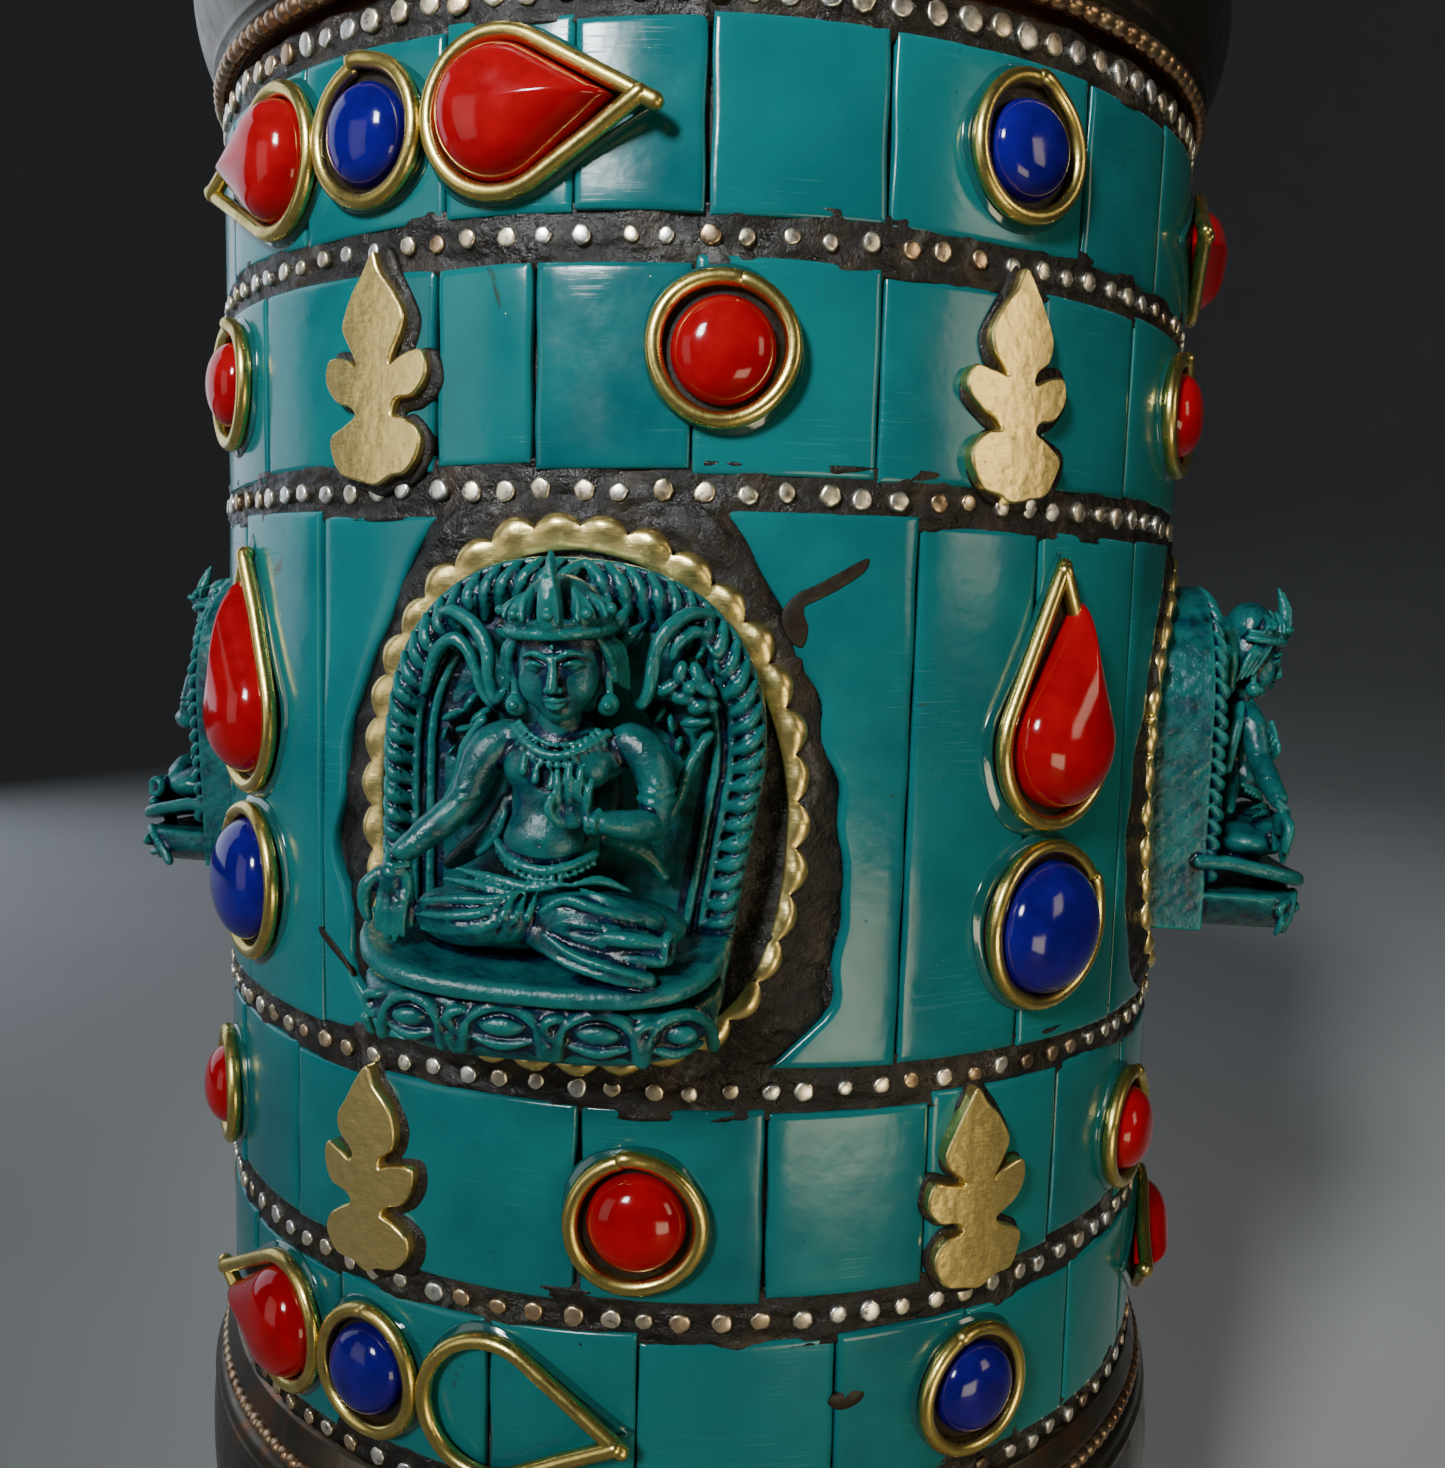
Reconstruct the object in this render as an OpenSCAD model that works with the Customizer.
// Table-top prayer wheel: a turquoise-tiled drum that turns on a steel spindle in a round foot,
// with a lid that lifts off. Origin: centre of the foot's underside, +Z up, millimetres.

/* [Drum] */
// Radius over the tiles
drum_r = 38; // [36:0.5:42]
// Height of the drum's lower edge above the table
drum_z = 40; // [38:0.5:44]
// Height of the moulded lower rim
rim_h = 15.4; // [14:0.2:18]
// Height of tile row 5 with its nail band, the lowest row
row_5_h = 12.9; // [12:0.1:16]
// Height of tile row 4 with its nail band
row_4_h = 14.4; // [13:0.1:18]
// Height of tile row 3 with its nail band, the tall middle row
row_3_h = 35.2; // [34:0.1:40]
// Height of tile row 2 with its nail band
row_2_h = 14.2; // [13:0.1:18]
// Height of tile row 1 with its nail band, the top row
row_1_h = 13.2; // [12:0.1:16]
// Thickness of the tiles
tile_t = 1.8; // [1.2:0.1:2.2]
// Height of the dark band between two tile rows
band_h = 2.5; // [2:0.1:3]
// Height of the copper neck that the lid slides over
neck_h = 8; // [6:0.5:10]

/* [Foot] */
// Radius of the foot under its sheet metal
foot_r = 48.8; // [46:0.2:56]
// Thickness of the sheet metal
sheet_t = 1.2; // [0.8:0.1:1.6]
// Thickness of the felt under the foot
felt_t = 1.5; // [1:0.5:3]

/* [Spindle] */
// Radius of the spindle
spindle_r = 3; // [2.5:0.1:3.5]
// Radial running clearance of the bushes and of the lid on its neck
run_gap = 0.05; // [0.03:0.01:0.1]

/* [Stones] */
// Radius of the round stones in the narrow rows
round_stone_r = 3; // [2.5:0.1:3.4]
// Radius of the round stones in the middle row
pair_stone_r = 4.3; // [3.8:0.1:4.6]
// Radius of the wire of the settings
wire_r = 0.45; // [0.35:0.05:0.5]

/* [Plaques] */
// Width of a plaque
plaque_w = 21; // [19:0.5:22]
// Height of a plaque
plaque_h = 28.5; // [26:0.5:29]
// Thickness of a plaque's slab, from its bedded back to its ground
plaque_t = 5.2; // [4.8:0.1:6.5]
// Half width of the lac field round a plaque
field_w = 15.4; // [14.5:0.1:16]

/* [Lid] */
// How far the lid's moulding stands out beyond the tiles
lid_flare = 2.05; // [1.5:0.05:3]
// Height of the lid's moulding
lid_moulding_h = 14.4; // [13:0.2:16]

/* [Hidden] */
$fn = 48;

// Heights of the six nail rows, from the lowest, f, to the highest, a
z_f = drum_z + rim_h + 0.6;
z_e = z_f + row_5_h;
z_d = z_e + row_4_h;
z_c = z_d + row_3_h;
z_b = z_c + row_2_h;
z_a = z_b + row_1_h;
// Middles of rows 1 and 5, and of rows 2 and 4
outer_row_z = [(z_a + z_b) / 2, (z_e + z_f) / 2];
inner_row_z = [(z_b + z_c) / 2, (z_d + z_e) / 2];
// The inlay's lowest and highest edges
inlay_lo = drum_z + rim_h;
inlay_hi = z_a + 1.1;
neck_hi = inlay_hi + neck_h;
// Radii through the drum's wall, outside to inside
band_r = drum_r - 0.3;
tile_back_r = drum_r - tile_t;
shell_r = drum_r - 3;
shell_in = shell_r - 0.9;
neck_r = shell_r + 1.55;
disc_t = 1.2;
seam = 0.12;
// Heights in the foot
foot_lo = felt_t + disc_t;
foot_top = foot_lo + 30.9;
collar_r = 8;
nut_r = 5.5;
// Bushes and what turns with them
bush_r = 5;
bush_flange_r = 9;
core_r = 7.9;
scroll_r = 30;
scroll_lo = drum_z + 14;
scroll_hi = neck_hi - 13;
// The lid's levels
lid_lo = inlay_hi + 1.3;
lid_hi = lid_lo + lid_moulding_h;
dome_r = drum_r + 4;
dome_z = lid_hi - 22.7;
dome_top = dome_z + dome_r;
lid_cavity_r = neck_r - 3.6;
lid_bead_r = drum_r + 0.15;
lid_bead_wire = 0.65;

// Angles round the drum, from the front (-Y) towards the right (+X)
thirds = [0, 120, 240];
cluster_angles = [for (t = thirds) t - 32];
single_angles = [for (t = thirds) t + 29];
sixths = [for (i = [0:5]) 60 * i];
ornament_angle = 29;
quarters = [0, 90, 180, 270];
plaque_angle = -10.5;
pair_angle = 36;
// Where the joints between the tiles lie, one list for each row
seams_1 = [
    -24, -12, 0, 16, 37, 52, 68, 86, 101, 118, 136,
    150, 167, 182, 198, 215, 230, 247, 262, 280, 300, 318
];
seams_2 = [
    -33, -25, -15, -1, 15, 32, 47, 66, 80, 97, 112, 130,
    145, 160, 178, 193, 210, 226, 243, 258, 276, 292, 310
];
seams_3 = [for (q = quarters, s = [-39.5, 19.5, 33.5]) q + s];
seams_4 = [
    -44, -33, -10, 7, 23, 40, 55, 73, 88, 104, 121,
    137, 152, 170, 186, 203, 218, 235, 250, 268, 285, 300
];
seams_5 = [
    -19, -4, 14, 28, 44, 61, 76, 93, 110, 126, 141,
    158, 175, 190, 207, 222, 240, 257, 272, 290, 305, 323
];

// Children drawn in the XY plane, with +Z outwards, go to angle a and height z on the drum.
module on_drum(a, z, r = drum_r) {
    rotate([0, 0, a]) translate([0, -r, z]) rotate([90, 0, 0]) children();
}

module ring(r_out, r_in, lo, hi) {
    difference() {
        translate([0, 0, lo]) cylinder(r = r_out, h = hi - lo);
        translate([0, 0, lo - 1]) cylinder(r = r_in, h = hi - lo + 2);
    }
}

module wire_ring(r, wire, z) {
    translate([0, 0, z]) rotate_extrude() translate([r, 0]) circle(wire);
}

// Part of a ring between two angles
module wedge(r_in, r_out, lo, hi, a1, a2) {
    rotate([0, 0, a1 - 90]) translate([0, 0, lo])
        rotate_extrude(angle = a2 - a1) translate([r_in, 0]) square([r_out - r_in, hi - lo]);
}

// An oval of four arcs
module oval(half_w, half_h, end_r) {
    end_y = half_h - end_r;
    k = half_w - end_r;
    side_x = (end_y * end_y - k * k) / (2 * k);
    side_r = side_x + half_w;
    join_y = end_y * side_r / (side_r - end_r);
    for (s = [-1, 1]) translate([0, s * end_y]) circle(end_r);
    intersection() {
        translate([-side_x, 0]) circle(side_r);
        translate([side_x, 0]) circle(side_r);
        square([3 * half_w, 2 * join_y], center = true);
    }
}

// A drop: a circle at the origin with a tip on +Y
module drop(r, tip) {
    c = r / tip;
    s = sqrt(1 - c * c);
    circle(r);
    polygon([[0, tip], [-r * s, r * c], [r * s, r * c]]);
}

// A flat-backed stone with a domed face
module cabochon(r, h) {
    dome = (r * r + h * h) / (2 * h);
    intersection() {
        cylinder(r = r, h = h);
        translate([0, 0, h - dome]) sphere(dome);
    }
}

module drop_stone(r, tip, h) {
    dome = (tip * tip + h * h) / (2 * h);
    intersection() {
        linear_extrude(h) drop(r, tip);
        translate([0, 0, h - dome]) sphere(dome);
    }
}

module drop_wire(r, tip) {
    linear_extrude(2 * wire_r) difference() {
        drop(r + 2 * wire_r, tip + 2.2 * wire_r * tip / r);
        drop(r, tip);
    }
}

// Both ends of the inlay carry the same clusters: a drop, a round stone and a drop.
module each_cluster() {
    for (z = outer_row_z, a = cluster_angles) {
        $cluster_a = a;
        $cluster_z = z;
        children();
    }
}

// ---- Foot ----
// Half section of the foot, grown by g
module foot_section(g) {
    translate([0, foot_lo]) {
        square([foot_r + g, 7]);
        square([foot_r - 4, 11 + g]);
        translate([foot_r - 4, 7]) circle(4 + g);
        difference() {
            square([foot_r - 2.8, 23.3]);
            translate([foot_r - 2.8, 23.3]) circle(14 - g);
            translate([foot_r - 2.8, -1]) square([20, 8]);
        }
        translate([foot_r - 16.8, 26.5]) circle(3.2 + g);
        square([foot_r - 16.8, 29.7 + g]);
    }
}

module above_foot_plate() {
    translate([0, foot_lo]) square([2 * foot_r, 2 * foot_r]);
}

module felt_pad() {
    color("darkolivegreen") cylinder(r = foot_r, h = felt_t);
}

module base_plate() {
    color("peru") translate([0, 0, felt_t]) cylinder(r = foot_r, h = disc_t);
}

module base_block() {
    color("sienna") difference() {
        rotate_extrude() intersection() {
            foot_section(0);
            above_foot_plate();
        }
        translate([0, 0, foot_lo - 1]) cylinder(r = spindle_r, h = 60);
        translate([0, 0, foot_lo - 1]) cylinder(r = 9, h = 7.3);
    }
}

module base_shell() {
    color("silver") rotate_extrude() difference() {
        intersection() {
            foot_section(sheet_t);
            above_foot_plate();
        }
        foot_section(0);
        square([spindle_r, 100]);
    }
}

module base_bead_lower() {
    color("silver") wire_ring(foot_r + sheet_t + 0.9, 0.9, foot_lo + 3);
}

module base_bead_upper() {
    color("silver") wire_ring(foot_r - 13.6 + sheet_t + 0.7, 0.7, foot_lo + 26.5);
}

// ---- Spindle ----
module spindle() {
    top = neck_hi + 8;
    color("gray") {
        translate([0, 0, foot_lo + 0.3]) cylinder(r = spindle_r, h = top - foot_lo - 1.3);
        translate([0, 0, top - 1]) cylinder(r1 = spindle_r, r2 = spindle_r - 0.8, h = 1);
    }
}

module hex_nut(lo, h) {
    color("silver") difference() {
        translate([0, 0, lo]) cylinder(r = nut_r, h = h, $fn = 6);
        translate([0, 0, lo - 1]) cylinder(r = spindle_r, h = h + 2);
    }
}

module foot_washer() {
    color("silver") ring(8.5, spindle_r, foot_lo + 4.9, foot_lo + 6.3);
}

module foot_nut() {
    hex_nut(foot_lo + 0.6, 4.3);
}

module pivot_collar() {
    color("goldenrod") ring(collar_r, spindle_r, foot_top, drum_z - 2.1);
}

module thrust_washer() {
    color("seashell") ring(collar_r, spindle_r + run_gap, drum_z - 2.1, drum_z - 0.95);
}

module top_washer() {
    color("goldenrod") ring(7, spindle_r, neck_hi + 1.1, neck_hi + 2.2);
}

module top_nut() {
    hex_nut(neck_hi + 2.2, 4);
}

// ---- Drum ----
module drum_shell() {
    color("peru") ring(shell_r, shell_in, drum_z + 2, neck_hi);
}

module neck_band() {
    color("peru") ring(neck_r, shell_r, inlay_hi, neck_hi);
}

module bottom_disc() {
    color("peru") ring(shell_in, bush_r, drum_z + 2, drum_z + 2 + disc_t);
}

module top_disc() {
    color("peru") ring(shell_in, bush_r, neck_hi - disc_t, neck_hi);
}

module bush(lo, hi, flange_lo) {
    color("goldenrod") difference() {
        union() {
            translate([0, 0, lo]) cylinder(r = bush_r, h = hi - lo);
            translate([0, 0, flange_lo]) cylinder(r = bush_flange_r, h = disc_t);
        }
        translate([0, 0, lo - 1]) cylinder(r = spindle_r + run_gap, h = hi - lo + 2);
    }
}

module lower_bush() {
    bush(drum_z - 0.9, scroll_lo - 2, drum_z + 2 - disc_t);
}

module upper_bush() {
    bush(scroll_hi + 2, neck_hi + 1, neck_hi - 2 * disc_t);
}

module scroll_core() {
    color("burlywood") ring(core_r, spindle_r + 0.6, scroll_lo - 2, scroll_hi + 2);
}

module mantra_scroll() {
    color("wheat") ring(scroll_r, core_r, scroll_lo, scroll_hi);
}

module scroll_wrap() {
    color("gold") ring(scroll_r + 1, scroll_r, scroll_lo, scroll_hi);
}

module scroll_ties() {
    color("crimson") for (z = [scroll_lo + 22, scroll_hi - 22]) wire_ring(scroll_r + 1.8, 0.8, z);
}

module lower_rim() {
    arc_r = 23;
    widest = drum_r + 1.85;
    color("silver") rotate_extrude() intersection() {
        translate([widest - arc_r, drum_z + 6.5]) circle(arc_r);
        translate([shell_r, drum_z]) square([10, rim_h]);
    }
}

module rim_bead() {
    color("silver") wire_ring(drum_r, 0.8, drum_z - 0.8);
}

// ---- Inlay ----
// Half section of the lac: thin behind the tiles, full height in the nail bands
module matrix_section() {
    translate([shell_r, inlay_lo]) square([tile_back_r - shell_r, inlay_hi - inlay_lo]);
    for (z = [z_b, z_c, z_d, z_e])
        translate([shell_r, z - band_h / 2]) square([band_r - shell_r, band_h]);
    translate([shell_r, inlay_lo]) square([band_r - shell_r, z_f + band_h / 2 - inlay_lo]);
    translate([shell_r, z_a - band_h / 2]) square([band_r - shell_r, inlay_hi - z_a + band_h / 2]);
}

module plaque_outline() {
    w = plaque_w / 2;
    translate([-w, -plaque_h / 2]) square([plaque_w, plaque_h - w]);
    translate([0, plaque_h / 2 - w]) circle(w);
}

plaque_back = shell_r + 0.3;
plaque_z = (z_c + z_d) / 2;

// The field is widest below its middle, has round lower corners, and runs open into the band above.
module field_outline() {
    side_r = 40;
    corner_r = 7;
    widest_y = -5.9;
    lowest_y = -17;
    inner_w = field_w - corner_r;
    intersection() {
        translate([field_w - side_r, widest_y]) circle(side_r);
        translate([side_r - field_w, widest_y]) circle(side_r);
        union() {
            translate([-field_w, lowest_y + corner_r]) square([2 * field_w, 40]);
            translate([-inner_w, lowest_y]) square([2 * inner_w, 2 * corner_r]);
            for (s = [-1, 1]) translate([s * inner_w, lowest_y + corner_r]) circle(corner_r);
        }
    }
}

module inlay_matrix() {
    color("dimgray") difference() {
        union() {
            rotate_extrude() matrix_section();
            intersection() {
                ring(band_r, shell_r, z_d, z_c);
                for (q = quarters)
                    on_drum(plaque_angle + q, plaque_z, shell_r - 5) linear_extrude(15) field_outline();
            }
        }
        for (q = quarters)
            on_drum(plaque_angle + q, plaque_z, plaque_back) linear_extrude(10) plaque_outline();
    }
}

module tile_row(seams, lo, hi) {
    gap = seam / drum_r * 90 / PI;
    for (i = [0:len(seams) - 1]) {
        next = i + 1 < len(seams) ? seams[i + 1] : seams[0] + 360;
        wedge(tile_back_r, drum_r, lo + band_h / 2, hi - band_h / 2, seams[i] + gap, next - gap);
    }
}

module tile_row_1() {
    color("teal") tile_row(seams_1, z_b, z_a);
}

module tile_row_2() {
    color("teal") tile_row(seams_2, z_c, z_b);
}

module tile_row_3() {
    color("teal") difference() {
        tile_row(seams_3, z_d, z_c);
        for (q = quarters)
            on_drum(plaque_angle + q, plaque_z, shell_r - 5) linear_extrude(15) field_outline();
    }
}

module tile_row_4() {
    color("teal") tile_row(seams_4, z_e, z_d);
}

module tile_row_5() {
    color("teal") tile_row(seams_5, z_f, z_e);
}

// A row of round nail heads, with their shanks in the lac
module nail_row(z, count, head_r) {
    color("lightgray") for (i = [0:count - 1])
        on_drum(i * 360 / count, z, band_r - 0.8) cylinder(r = head_r, h = 1.1);
}

module nail_row_a() {
    nail_row(z_a, 112, 0.7);
}

module nail_row_b() {
    nail_row(z_b, 102, 0.475);
}

module nail_row_c() {
    nail_row(z_c, 102, 0.475);
}

module nail_row_d() {
    nail_row(z_d, 102, 0.475);
}

module nail_row_e() {
    nail_row(z_e, 102, 0.475);
}

module nail_row_f() {
    nail_row(z_f + 0.2, 102, 0.5);
}

// ---- Stones and their wire settings ----
cluster_step = 13.7;
drop_r = 3.7;
drop_tip = 6.8;
pair_drop_r = 4.2;
pair_drop_tip = 9.1;
pair_drop_z = plaque_z + 2.9;
pair_round_z = plaque_z - 8.6;
// The single red stones sit a little off the middles of rows 2 and 4: [angle, height]
coral_shifts = [[1.3, 0.8], [-4.6, -0.8]];
// The cluster with no stone in its right-hand setting: the front one of the lowest row
missing_a = cluster_angles[0];
missing_z = outer_row_z[1];

module each_coral_round() {
    for (row = [0, 1], a = sixths)
        on_drum(a + coral_shifts[row][0], inner_row_z[row] + coral_shifts[row][1]) children();
}

module coral_rounds() {
    color("crimson") each_coral_round() cabochon(round_stone_r, 2.4);
}

module lapis_rounds() {
    color("mediumblue") for (z = outer_row_z, a = concat(cluster_angles, single_angles))
        on_drum(a, z) cabochon(round_stone_r, 2.2);
}

module coral_drops() {
    color("crimson") each_cluster() for (side = [-1, 1])
        if (!(side == 1 && $cluster_a == missing_a && $cluster_z == missing_z))
            on_drum($cluster_a + side * cluster_step, $cluster_z) rotate([0, 0, -90 * side])
                drop_stone(drop_r, drop_tip, 3);
}

module pair_corals() {
    color("crimson") for (q = quarters)
        on_drum(pair_angle + q, pair_drop_z) drop_stone(pair_drop_r, pair_drop_tip, 3.2);
}

module pair_lapis() {
    color("mediumblue") for (q = quarters)
        on_drum(pair_angle + q, pair_round_z) cabochon(pair_stone_r, 3);
}

module round_setting(r) {
    translate([0, 0, wire_r]) rotate_extrude() translate([r, 0]) circle(wire_r);
}

module round_bezels() {
    color("goldenrod") {
        each_coral_round() round_setting(round_stone_r + 0.9);
        for (z = outer_row_z, a = concat(cluster_angles, single_angles))
            on_drum(a, z) round_setting(round_stone_r + 0.9);
    }
}

module drop_bezels() {
    color("goldenrod") each_cluster() for (side = [-1, 1])
        on_drum($cluster_a + side * cluster_step, $cluster_z) rotate([0, 0, -90 * side])
            drop_wire(drop_r + 0.2, drop_tip + 0.6);
}

module pair_drop_bezels() {
    color("goldenrod") for (q = quarters)
        on_drum(pair_angle + q, pair_drop_z) drop_wire(pair_drop_r + 0.2, pair_drop_tip + 0.8);
}

module pair_round_bezels() {
    color("goldenrod") for (q = quarters)
        on_drum(pair_angle + q, pair_round_z) round_setting(pair_stone_r + 0.7);
}

// ---- Plaques ----
// A rod with round ends between two points
module limb(a, b, r) {
    v = b - a;
    length = norm(v);
    translate(a) sphere(r * 1.04);
    translate(a) rotate([0, acos(v[2] / length), atan2(v[1], v[0])]) cylinder(r = r, h = length);
    translate(b) sphere(r * 1.04);
}

// A seated figure on a slab: the ground is at height plaque_t over the bedded back
module plaque(q) {
    ground = plaque_t;
    color("darkcyan") on_drum(plaque_angle + q, plaque_z, plaque_back) {
        // slab with a raised border
        difference() {
            linear_extrude(ground + 0.9) plaque_outline();
            translate([0, 0, ground]) linear_extrude(3) {
                translate([0, -3]) square([plaque_w - 4, plaque_h - plaque_w + 6], center = true);
                translate([0, plaque_h / 2 - plaque_w / 2 - 0.2]) circle(plaque_w / 2 - 1.8);
            }
        }
        // lotus seat
        translate([-9.8, 0.3 - plaque_h / 2, ground - 1]) cube([19.6, 4.4, 8.2]);
        // crossed legs, body, head and crown
        limb([-6.4, -7.9, ground + 5.2], [6.4, -7.9, ground + 5.2], 2.2);
        translate([-6.2, -9, ground - 1]) cube([12.4, 3, 5]);
        translate([0, -8, ground + 3.2]) rotate([-90, 0, 0]) cylinder(r1 = 3.4, r2 = 3.9, h = 11);
        translate([-0.5, 7.2, ground - 1]) cylinder(r = 2.6, h = 5.4);
        translate([-0.5, 7.2, ground + 4.4]) sphere(2.9);
        translate([-0.5, 8.4, ground + 3.6]) rotate([-90, 0, 0]) cylinder(r1 = 2.7, r2 = 0.8, h = 5.2);
        // arms
        limb([-4.4, 1.6, ground + 2.6], [-7, -3.6, ground + 2.4], 1.2);
        limb([4.4, 1.6, ground + 2.6], [5.4, -3.4, ground + 3], 1.2);
        limb([5.4, -3.4, ground + 3], [0.6, 0.6, ground + 6.4], 1.1);
    }
}

module plaque_1() {
    plaque(quarters[0]);
}

module plaque_2() {
    plaque(quarters[1]);
}

module plaque_3() {
    plaque(quarters[2]);
}

module plaque_4() {
    plaque(quarters[3]);
}

// A strip of sheet brass round each plaque, on the lac field
module oval_frames() {
    color("gold") for (q = quarters) intersection() {
        difference() {
            ring(drum_r + 0.3, band_r, z_d + 0.8, z_c - 0.8);
            on_drum(plaque_angle + q, plaque_z, 0) linear_extrude(60) oval(12.2, 15, 10);
            on_drum(plaque_angle + q, plaque_z, 0) linear_extrude(60) plaque_outline();
        }
        on_drum(plaque_angle + q, plaque_z, 20) linear_extrude(25) oval(13.6, 16, 11.6);
    }
}

// ---- Sheet-brass ornaments ----
// A standing flame leaf with a curl at its foot
module leaf_outline() {
    translate([0, -2.2]) drop(2.6, 9);
    translate([-1.9, -4.6]) circle(2);
    translate([1.7, -5.2]) circle(1.6);
}

module ornament_ring(z) {
    color("gold") for (i = [0:5])
        on_drum(ornament_angle + sixths[i], z, drum_r + 0.05)
            mirror([i % 2, 0, 0]) linear_extrude(0.8) leaf_outline();
}

module ornaments_upper() {
    ornament_ring(inner_row_z[0]);
}

module ornaments_lower() {
    ornament_ring(inner_row_z[1]);
}

// ---- Lid ----
module lid_band_section() {
    arc_r = 11.4;
    difference() {
        union() {
            intersection() {
                translate([drum_r + lid_flare - arc_r, (lid_lo + lid_hi) / 2]) circle(arc_r);
                translate([0, lid_lo]) square([drum_r + 10, lid_moulding_h]);
            }
            translate([0, lid_lo]) square([drum_r - 6, lid_moulding_h]);
        }
        // bore over the neck, the step above it, and the groove of the beaded wire
        square([neck_r + run_gap, neck_hi + run_gap]);
        square([lid_cavity_r, 300]);
        translate([lid_bead_r, lid_lo]) circle(lid_bead_wire);
    }
}

module lid_dome_section() {
    difference() {
        intersection() {
            translate([0, dome_z]) circle(dome_r);
            translate([0, lid_hi]) square([drum_r + 10, 50]);
        }
        intersection() {
            translate([0, dome_z]) circle(dome_r - 1.6);
            square([lid_cavity_r, 300]);
        }
        square([2.5, 300]);
    }
}

module lid_band() {
    color("silver") rotate_extrude() lid_band_section();
}

module lid_dome() {
    color("silver") rotate_extrude() lid_dome_section();
}

module lid_bead_lower() {
    color("silver") wire_ring(lid_bead_r, lid_bead_wire, lid_lo);
}

module lid_bead_upper() {
    color("silver") wire_ring(drum_r - 1.6, 0.8, lid_hi + 0.8);
}

module finial_neck() {
    color("goldenrod") {
        difference() {
            union() {
                translate([0, 0, dome_top - 1.5]) cylinder(r = 9, h = 3);
                translate([0, 0, dome_top]) cylinder(r1 = 7, r2 = 3.4, h = 5);
            }
            translate([0, 0, dome_z]) sphere(dome_r);
        }
        translate([0, 0, dome_top - 1.6]) cylinder(r = 2.5, h = 3);
    }
}

module finial_bud() {
    bud_z = dome_top + 5;
    color("goldenrod") {
        translate([0, 0, bud_z]) cylinder(r1 = 3.4, r2 = 5.6, h = 2);
        intersection() {
            translate([0, 0, bud_z + 7]) sphere(7);
            translate([0, 0, bud_z + 1.9]) cylinder(r = 8, h = 9.6);
        }
        translate([0, 0, bud_z + 11]) cylinder(r1 = 5.6, r2 = 1.6, h = 5);
    }
}

module finial_tip() {
    color("crimson") difference() {
        translate([0, 0, dome_top + 22.6]) sphere(2.4);
        translate([0, 0, dome_top + 11]) cylinder(r = 3, h = 10);
    }
}

felt_pad();
base_plate();
base_block();
base_shell();
base_bead_lower();
base_bead_upper();
spindle();
foot_washer();
foot_nut();
pivot_collar();
thrust_washer();
top_washer();
top_nut();
drum_shell();
neck_band();
bottom_disc();
top_disc();
lower_bush();
upper_bush();
scroll_core();
mantra_scroll();
scroll_wrap();
scroll_ties();
lower_rim();
rim_bead();
inlay_matrix();
tile_row_1();
tile_row_2();
tile_row_3();
tile_row_4();
tile_row_5();
nail_row_a();
nail_row_b();
nail_row_c();
nail_row_d();
nail_row_e();
nail_row_f();
coral_rounds();
lapis_rounds();
coral_drops();
pair_corals();
pair_lapis();
round_bezels();
drop_bezels();
pair_drop_bezels();
pair_round_bezels();
plaque_1();
plaque_2();
plaque_3();
plaque_4();
oval_frames();
ornaments_upper();
ornaments_lower();
lid_band();
lid_dome();
lid_bead_lower();
lid_bead_upper();
finial_neck();
finial_bud();
finial_tip();
